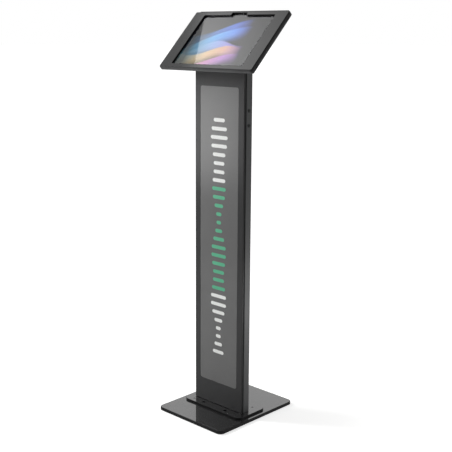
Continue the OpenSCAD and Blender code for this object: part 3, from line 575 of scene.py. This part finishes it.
def screen_picture(hues, sizes):
    """Lit picture of flowing ribbons on a dark ground.

    Each ribbon follows a slope and a sine of the place across. Its light falls off with the
    distance from that line and fades in and out along the screen, its colour runs from one end
    to the other, and each ribbon covers those before it.
    """
    made, tree = new_material("display_lit_picture")
    axes = node(tree, "ShaderNodeSeparateXYZ", {0: enclosure_axes(tree)})
    across = node(tree, "ShaderNodeMath", {0: axes.outputs[0], 1: sizes.display_w},
                  operation="DIVIDE").outputs[0]
    height = node(tree, "ShaderNodeMath", {0: axes.outputs[1], 1: sizes.display_w},
                  operation="DIVIDE").outputs[0]
    total = rgba(hues.picture_ground)
    for ribbon in RIBBONS:
        bend = node(tree, "ShaderNodeMath", {0: across, 1: ribbon.waves, 2: ribbon.phase},
                    operation="MULTIPLY_ADD")
        wave = node(tree, "ShaderNodeMath", {0: bend.outputs[0]}, operation="SINE")
        line = node(tree, "ShaderNodeMath", {0: across, 1: ribbon.slope, 2: ribbon.middle},
                    operation="MULTIPLY_ADD")
        path = node(tree, "ShaderNodeMath",
                    {0: wave.outputs[0], 1: ribbon.rise, 2: line.outputs[0]},
                    operation="MULTIPLY_ADD")
        above = node(tree, "ShaderNodeMath", {0: height, 1: path.outputs[0]}, operation="SUBTRACT")
        # One side of a ribbon ends sharply and the other side fades.
        upper = node(tree, "ShaderNodeMapRange",
                     {"Value": above.outputs[0], "From Min": RIBBON_EDGE, "From Max": 0.0})
        lower = node(tree, "ShaderNodeMapRange",
                     {"Value": above.outputs[0], "From Min": -ribbon.width,
                      "From Max": -ribbon.width / 4}, interpolation_type="SMOOTHSTEP")
        along = node(tree, "ShaderNodeMapRange",
                     {"Value": across, "From Min": ribbon.start, "From Max": ribbon.end})
        fade = node(tree, "ShaderNodeValToRGB", {"Fac": along.outputs[0]})
        stops = fade.color_ramp.elements
        stops[0].color = rgba([RIBBON_START] * 3)
        stops[1].color = rgba([RIBBON_END] * 3)
        for stop, light in RIBBON_BETWEEN:
            stops.new(stop).color = rgba([light] * 3)
        body = node(tree, "ShaderNodeMath", {0: upper.outputs[0], 1: lower.outputs[0]},
                    operation="MULTIPLY")
        share = node(tree, "ShaderNodeMath", {0: body.outputs[0], 1: fade.outputs[0]},
                     operation="MULTIPLY")
        hue = node(tree, "ShaderNodeMix",
                   {"Factor": along.outputs[0], "A": rgba(getattr(hues, ribbon.first)),
                    "B": rgba(getattr(hues, ribbon.last))}, data_type="RGBA")
        total = node(tree, "ShaderNodeMix",
                     {"Factor": share.outputs[0], "A": total, "B": hue.outputs[2]},
                     data_type="RGBA").outputs[2]
    surface = node(tree, "ShaderNodeBsdfPrincipled",
                   {"Base Color": (0, 0, 0, 1), "Roughness": 0.4, "Specular IOR Level": 0.0,
                    "Emission Color": total, "Emission Strength": 1.0})
    node(tree, "ShaderNodeOutputMaterial", {"Surface": surface.outputs[0]})
    return made


def camera_lens(hues, sizes):
    """Camera lens behind the glass: a low dome in a raised ring, turned about the face's normal."""
    radius = sizes.lens_r * LENS_RADII
    level = sizes.glass_floor + MM * LENS_LEVELS
    angle = np.linspace(0, FULL_TURN, ROUND_STEPS, endpoint=False)
    u = radius[:, None] * np.cos(angle)
    v = sizes.camera_v + radius[:, None] * np.sin(angle)
    # Coated lens glass, polished: near black, with a faint blue sheen.
    finish = grained("lens_glass_coated", hues.lens, grain=1, shade=0.4, rough=(0.04, 0.1),
                     bump=0.001, edge=0.02, **{"Coat Weight": 1.0, "Coat Roughness": 0.02})
    skin("camera_lens", head_points(u, v, level[:, None] + 0 * u), "stand", finish)


class KIOSK_OT_base(bpy.types.Operator):
    """Finishes the base plate, its pads and the column's foot"""

    bl_idname = "kiosk.base"
    bl_label = "Base and foot"

    def execute(self, context):
        hues, sizes = context.scene.kiosk_colours, context.scene.kiosk_sizes
        # Black steel plate, cut and then gloss lacquered from above: the top mirrors the room,
        # the slow waves of sprayed paint bend that mirror a little, and the cut edges stay dull.
        for name, top in (("base_plate", sizes.base_top), ("foot_plate", sizes.foot_top)):
            coat([name], grained(f"{name}_steel_gloss_lacquered", hues.lacquer, grain=7, shade=0.3,
                                 rough=(0.55, 0.65), bump=0.003, edge=0, coat_from=top,
                                 **{"Specular IOR Level": 0.12, "Coat IOR": 2.1,
                                    "Coat Roughness": 0.03}))
        coat(["base_pads"], rubber_finish(hues))
        coat(["foot_screws"], black_oxide_finish(hues))
        return {"FINISHED"}


class KIOSK_OT_column(bpy.types.Operator):
    """Finishes the column, its front plate, cap and screws"""

    bl_idname = "kiosk.column"
    bl_label = "Column"

    def execute(self, context):
        hues = context.scene.kiosk_colours
        # Extruded aluminium, dark anodised: die lines run up the whole column. They are drawn
        # 0.6 mm wide, wider than the real ones, so that they show.
        coat(["column_body"], grained("aluminium_extruded_dark_anodised", hues.column, grain=0.6,
                                      stretch=(1, 1, 160), shade=0.14, rough=(0.36, 0.46),
                                      bump=0.006, edge=0.8, **{"Specular IOR Level": 0.35}))
        # Rolled aluminium plate, brushed and dark anodised: a satin black-grey with upright brush
        # marks, drawn 0.5 mm wide so that they show.
        coat(["front_plate"], grained("aluminium_plate_brushed_anodised", hues.front, grain=0.5,
                                      stretch=(1, 1, 90), shade=0.12, rough=(0.2, 0.27),
                                      bump=0.006, edge=0.8, **{"Specular IOR Level": 0.15}))
        # Moulded ABS: deep black with a fine spark-eroded grain.
        coat(["column_cap"], grained("abs_moulded", hues.rubber, grain=0.7, shade=0.2,
                                     rough=(0.5, 0.62), bump=0.02, edge=0.6))
        coat(["rear_grommet"], rubber_finish(hues))
        coat(["plate_screws", "column_screws", "cap_screws"], zinc_finish(hues))
        places = [(side * COLUMN_SCREW_X * MM, COLUMN_SCREW_Y * MM, z * MM)
                  for side in (-1, 1) for z in COLUMN_SCREW_Z]
        screws = screw_heads("column_screw_heads", places, (0, 1, 0), (1, 0, 0), COLUMN_SCREW,
                             zinc_finish(hues))
        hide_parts("column_screws")
        places = [(side * CAP_SCREW_X * MM, CAP_SCREW_Y * MM, CAP_SCREW_Z * MM)
                  for side in (-1, 1)]
        screws = screw_heads("cap_screw_heads", places, (0, 0, 1), (1, 0, 0), CAP_SCREW,
                             zinc_finish(hues))
        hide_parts("cap_screws")
        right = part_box("column_body")[1][0]
        places = [(right, SIDE_SCREW_Y * MM, z * MM) for z in SIDE_SCREW_Z]
        screw_heads("side_screw_heads", places, (1, 0, 0), (0, 1, 0), SIDE_SCREW,
                    black_oxide_finish(hues))
        return {"FINISHED"}


class KIOSK_OT_panel_print(bpy.types.Operator):
    """Finishes the graphic panel and prints its bars"""

    bl_idname = "kiosk.panel_print"
    bl_label = "Graphic panel"

    def execute(self, context):
        hues, sizes = context.scene.kiosk_colours, context.scene.kiosk_sizes
        # Printed polycarbonate sheet: a satin grey with the sheet's fine velvet grain, drawn
        # 1.5 mm wide so that it shows.
        coat(["graphic_panel"], grained("polycarbonate_sheet_matt", hues.panel, grain=1.5,
                                        shade=0.07, rough=(0.2, 0.27), bump=0.01, edge=0.3,
                                        **{"Specular IOR Level": 0.3}))
        count = sizes.print_bars
        step = np.arange(count) / (count - 1)
        z = sizes.print_top + (sizes.print_bottom - sizes.print_top) * step
        fast, slow = (step * waves * math.pi for waves in BAR_WAVES)
        lengths = sizes.print_w * (BAR_MEAN + BAR_SWING * np.sin(fast) * np.cos(slow))
        front_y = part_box("graphic_panel")[0][1]
        green = (step > GREEN_BARS[0]) & (step < GREEN_BARS[1])
        # Screen-printed ink: a thin, even film, duller than the sheet.
        for name, pick, hue in (("panel_print_pale", ~green, hues.ink_pale),
                                ("panel_print_green", green, hues.ink_green)):
            ink = grained(f"{name}_screen_ink", hue, grain=1.5, shade=0.04, rough=(0.45, 0.55),
                          bump=0.004, edge=0.05)
            bars = pills(z[pick], lengths[pick], sizes.print_bar, sizes.ink_t, front_y)
            skin(name, bars, "stand", ink)
        return {"FINISHED"}


class KIOSK_OT_enclosure(bpy.types.Operator):
    """Finishes the bracket, shell, hinged frame, hinges and lock"""

    bl_idname = "kiosk.enclosure"
    bl_label = "Enclosure"

    def execute(self, context):
        hues, sizes = context.scene.kiosk_colours, context.scene.kiosk_sizes
        # Powder coat on folded steel: a matt black with the orange-peel of melted powder.
        coat(["head_bracket"], grained("steel_sheet_powder_coated", hues.powder, grain=1.4,
                                       shade=0.2, rough=(0.5, 0.65), bump=0.05, edge=0.6))
        # Aluminium, bead-blasted and dyed black: even, dull and very dark.
        coat(["back_shell"], grained("aluminium_blasted_black_anodised", hues.shell, grain=0.7,
                                     shade=0.25, rough=(0.5, 0.62), bump=0.02, edge=0.6,
                                     **{"Specular IOR Level": 0.3}))
        # The frame's own metal, milled and black anodised, dull. Its near black is also painted
        # shade on the frame's sides and inner window walls; the grey film covers only the face.
        coat(["front_frame"], grained("aluminium_milled_black_and_painted_shade", hues.frame, grain=0.7,
                                      shade=0.2, rough=(0.45, 0.55), bump=0.012, edge=0.4,
                                      **{"Specular IOR Level": 0.15}))
        # Grey polyester film laminated on the face: satin, with soft wide highlights.
        film = grained("polyester_film_laminated", hues.film, grain=0.9, shade=0.08,
                       rough=(0.13, 0.17), bump=0.004, edge=0.05, **{"Specular IOR Level": 0.36})
        skin("frame_face_film", film_rows(sizes), "frame", film, ring=True)
        coat(["window_gasket", "tablet_pads", "tablet_stops"], foam_finish(hues))
        coat(["entry_grommet"], rubber_finish(hues))
        coat(["hinge_pins", "lock_nut", "lock_cam", "cam_screw", "vesa_screws"], zinc_finish(hues))
        # Die-cast zinc, polished and chrome plated: a bright mirror with faint buffing haze.
        coat(["lock_barrel"], grained("zinc_cast_chrome_plated", hues.chrome, grain=2.5,
                                      shade=0.05, rough=(0.06, 0.14), bump=0.002, edge=0.3,
                                      **{"Metallic": 1.0}))
        # Turned brass: warm metal with fine tool marks.
        coat(["lock_plug"], grained("brass_turned", hues.brass, grain=0.5, shade=0.1,
                                    rough=(0.25, 0.38), bump=0.01, edge=0.2, **{"Metallic": 1.0}))
        corners = np.array([(sx, sy) for sx in (-1, 1) for sy in (-1, 1)]) * BRACKET_HOLE * MM
        places = head_points(corners[:, 0], corners[:, 1], -BRACKET_PLATE * MM)
        away = (0, math.sin(sizes.head_tilt), -math.cos(sizes.head_tilt))
        screws = screw_heads("bracket_screw_heads", places, away, (1, 0, 0), BRACKET_SCREW,
                             zinc_finish(hues))
        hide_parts("vesa_screws")
        return {"FINISHED"}


class KIOSK_OT_tablet(bpy.types.Operator):
    """Finishes the tablet and adds its lit picture, border ink and camera lens"""

    bl_idname = "kiosk.tablet"
    bl_label = "Tablet"

    def execute(self, context):
        hues, sizes = context.scene.kiosk_colours, context.scene.kiosk_sizes
        # Milled aluminium, fine-blasted and clear anodised: pale and silky.
        tray = grained("aluminium_milled_blasted", hues.tablet, grain=0.5, shade=0.05,
                       rough=(0.32, 0.42), bump=0.01, edge=0.3, **{"Metallic": 1.0})
        coat(["tablet_body", "power_button", "volume_rocker"], tray)
        # Pressed pouch foil: dull dark plastic with soft wrinkles.
        coat(["tablet_battery"], grained("battery_pouch_pressed", hues.foil, grain=9, shade=0.15,
                                         rough=(0.35, 0.5), bump=0.2, edge=0.5))
        # Glass-fibre laminate under solder mask: a deep green, mottled by the fibres below it.
        coat(["tablet_board"], grained("laminate_solder_masked", hues.board, grain=1.1, shade=0.3,
                                       rough=(0.3, 0.4), bump=0.02, edge=0.1))
        # Stamped steel frame of the display module, painted: dark, smooth and satin.
        coat(["tablet_display"], grained("display_module_stamped", hues.module, grain=2,
                                         shade=0.1, rough=(0.3, 0.4), bump=0.01, edge=0.2))
        # Anodised lens barrel, turned: near black, with a soft sheen.
        coat(["front_camera"], grained("lens_barrel_turned", hues.barrel, grain=0.4, shade=0.2,
                                       rough=(0.2, 0.3), bump=0.01, edge=0.1))
        coat(["tablet_glass"], cover_glass_finish())
        low, high = (sizes.glass_floor + level * MM for level in SHEET_LEVELS)
        skin("screen_picture",
             plate_rows(sizes.display_w, sizes.display_h, sizes.display_r, low, high),
             "stand", screen_picture(hues, sizes))
        # Black ink printed on the back of the glass round the picture: the glass wets it, so it
        # has no gloss of its own.
        ink = grained("glass_border_ink_printed", hues.border, grain=1, shade=0.2,
                      rough=(0.4, 0.5), bump=0.002, edge=0.05, **{"Specular IOR Level": 0.0})
        margin, play = INK_MARGIN * MM, INK_PLAY * MM
        outer = (sizes.glass_w - margin, sizes.glass_h - margin, sizes.glass_r)
        inner = (sizes.display_w + play, sizes.display_h + play, sizes.display_r)
        skin("glass_border_ink", band_rows(outer, inner, low, high), "stand", ink,
             ring=True)
        camera_lens(hues, sizes)
        return {"FINISHED"}


def looked_at(tree):
    """One where the camera looks, directly, in a mirror or through glass, and else nought."""
    ray = node(tree, "ShaderNodeLightPath")
    near = node(tree, "ShaderNodeMath", {0: ray.outputs["Is Camera Ray"],
                                         1: ray.outputs["Is Glossy Ray"]}, operation="MAXIMUM")
    return node(tree, "ShaderNodeMath", {0: near.outputs[0],
                                         1: ray.outputs["Is Transmission Ray"]},
                operation="MAXIMUM").outputs[0]


def paper_finish(look):
    """Studio paper, matt white. For the camera a little white is added, more with distance and
    none under the base, so that it runs into the white room and keeps the shadow."""
    made, tree = new_material("paper_roll_matt")
    place = node(tree, "ShaderNodeTexCoord").outputs["Object"]
    away = node(tree, "ShaderNodeVectorMath", {0: place}, operation="LENGTH")
    far = node(tree, "ShaderNodeMapRange",
               {"Value": away.outputs["Value"], "From Min": WHITE_GROWS[0],
                "From Max": WHITE_GROWS[1], "To Min": WHITE_STRENGTH[0],
                "To Max": WHITE_STRENGTH[1]})
    clear = node(tree, "ShaderNodeMapRange",
                 {"Value": away.outputs["Value"], "From Min": WHITE_BEGINS[0],
                  "From Max": WHITE_BEGINS[1]})
    lit = node(tree, "ShaderNodeMath", {0: far.outputs[0], 1: clear.outputs[0]},
               operation="MULTIPLY")
    seen = node(tree, "ShaderNodeMath", {0: lit.outputs[0], 1: looked_at(tree)},
                operation="MULTIPLY")
    matt = node(tree, "ShaderNodeBsdfPrincipled",
                {"Base Color": rgba(look.floor), "Roughness": 0.9, "Specular IOR Level": 0.1,
                 "Emission Color": (1, 1, 1, 1), "Emission Strength": seen.outputs[0]})
    node(tree, "ShaderNodeOutputMaterial", {"Surface": matt.outputs[0]})
    return made


def paper_floor(look):
    """Paper floor: a level square, as a grid of points."""
    side = np.linspace(-FLOOR_REACH, FLOOR_REACH, FLOOR_POINTS)
    u, v = np.meshgrid(side, side)
    points = np.stack([u, v, np.full_like(u, -FLOOR_DROP)], axis=-1).reshape(-1, 3)
    i, j = np.meshgrid(np.arange(FLOOR_POINTS - 1), np.arange(FLOOR_POINTS - 1))
    first = (i * FLOOR_POINTS + j).ravel()
    above = first + FLOOR_POINTS
    faces = np.stack([first, first + 1, above + 1, above], axis=-1)
    mesh = bpy.data.meshes.new("paper_floor")
    mesh.from_pydata(points.tolist(), [], faces.tolist())
    floor = bpy.data.objects.new("paper_floor", mesh)
    bpy.context.scene.collection.objects.link(floor)
    mesh.materials.append(paper_finish(look))


def white_room(scene, look):
    """World that is white where the camera looks, and lights the object with the ambient light."""
    world = bpy.data.worlds.new("white_room")
    scene.world = world
    world.use_nodes = True
    tree = world.node_tree
    tree.nodes.clear()
    strength = node(tree, "ShaderNodeMapRange",
                    {"Value": looked_at(tree), "To Min": look.ambient, "To Max": 1.0})
    back = node(tree, "ShaderNodeBackground",
                {"Color": (1, 1, 1, 1), "Strength": strength.outputs[0]})
    node(tree, "ShaderNodeOutputWorld", {"Surface": back.outputs[0]})


def lamp(name, place, aim, size, power, roll=0.0, spread=math.pi):
    """Soft rectangular lamp that looks at a point, turned about its axis by roll; a grid in front
    of it holds its light together within the spread."""
    data = bpy.data.lights.new(name, "AREA")
    data.shape = "RECTANGLE"
    data.size, data.size_y = size
    data.energy = power
    data.spread = spread
    made = bpy.data.objects.new(name, data)
    bpy.context.scene.collection.objects.link(made)
    made.location = place
    away = Vector(place) - Vector(aim)
    turned = away.to_track_quat("Z", "Y") @ Quaternion((0, 0, 1), roll)
    made.rotation_euler = turned.to_euler()


def photo_camera(scene, look):
    """Camera at the photograph's place, level from side to side."""
    data = bpy.data.cameras.new("photo_camera")
    data.sensor_width = look.sensor
    data.lens = look.lens
    data.shift_x = look.shift
    eye = bpy.data.objects.new("photo_camera", data)
    scene.collection.objects.link(eye)
    eye.location = look.camera_at
    eye.rotation_euler = (math.pi / 2 - look.camera_dip, 0, look.camera_turn)
    scene.camera = eye


class KIOSK_OT_stage(bpy.types.Operator):
    """Builds the paper floor, the white room, the lamps and the camera"""

    bl_idname = "kiosk.stage"
    bl_label = "Studio"

    def execute(self, context):
        look, scene = context.scene.kiosk_stage, context.scene
        scene.view_settings.view_transform = "Standard"
        paper_floor(look)
        white_room(scene, look)
        # The main light and the column's gloss come from the left, a gridded lamp lays a sheen on
        # the screen, and two weak ones give the enclosure's edge and the foot their glints.
        lamp("front_softbox", place=(-1.02, -0.66, 1.14), aim=(0, -0.03, 0.62), size=(0.3, 0.26),
             power=14.5)
        lamp("column_softbox", place=(-0.97, -0.86, 0.57), aim=(0, -0.03, 0.6), size=(0.4, 0.34),
             power=2.1)
        lamp("screen_softbox", place=(-0.8731, -0.0794, 2.146), aim=(0.191, -0.0171, 1.0906),
             size=(0.86, 0.6), power=0.034, roll=math.radians(-14.8), spread=math.radians(17))
        lamp("edge_softbox", place=(-0.515, -0.05, 0.335), aim=(0.01, -0.0845, 0.868),
             size=(0.25, 0.25), power=0.7)
        lamp("low_softbox", place=(0.5, 0.52, 0.1), aim=(0.08, -0.01, 0.12), size=(0.6, 0.16),
             power=1.3)
        photo_camera(scene, look)
        return {"FINISHED"}


class KIOSK_PT_panel(bpy.types.Panel):
    """Lists the steps in the 3D view's sidebar"""

    bl_idname = "KIOSK_PT_panel"
    bl_label = "Tablet kiosk"
    bl_space_type = "VIEW_3D"
    bl_region_type = "UI"
    bl_category = "Kiosk"

    def draw(self, context):
        for step in STEPS:
            self.layout.operator(step.bl_idname)
        for group in (context.scene.kiosk_sizes, context.scene.kiosk_colours,
                      context.scene.kiosk_stage):
            box = self.layout.box()
            for name in group.bl_rna.properties.keys():
                if name not in ("rna_type", "name"):
                    box.prop(group, name)


STEPS = (KIOSK_OT_stage, KIOSK_OT_base, KIOSK_OT_column, KIOSK_OT_panel_print,
         KIOSK_OT_enclosure, KIOSK_OT_tablet)
CLASSES = (KioskSizes, KioskColours, KioskStage, *STEPS, KIOSK_PT_panel)


def register():
    """Registers the classes and gives the scene its sizes, colours and stage."""
    for made in CLASSES:
        bpy.utils.register_class(made)
    bpy.types.Scene.kiosk_sizes = PointerProperty(type=KioskSizes)
    bpy.types.Scene.kiosk_colours = PointerProperty(type=KioskColours)
    bpy.types.Scene.kiosk_stage = PointerProperty(type=KioskStage)


def unregister():
    """Takes away what register added."""
    del bpy.types.Scene.kiosk_stage
    del bpy.types.Scene.kiosk_colours
    del bpy.types.Scene.kiosk_sizes
    for made in reversed(CLASSES):
        bpy.utils.unregister_class(made)


def main():
    """Runs every step."""
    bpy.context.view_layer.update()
    register()
    for step in STEPS:
        group, name = step.bl_idname.split(".")
        getattr(getattr(bpy.ops, group), name)()


if __name__ == "__main__":
    main()
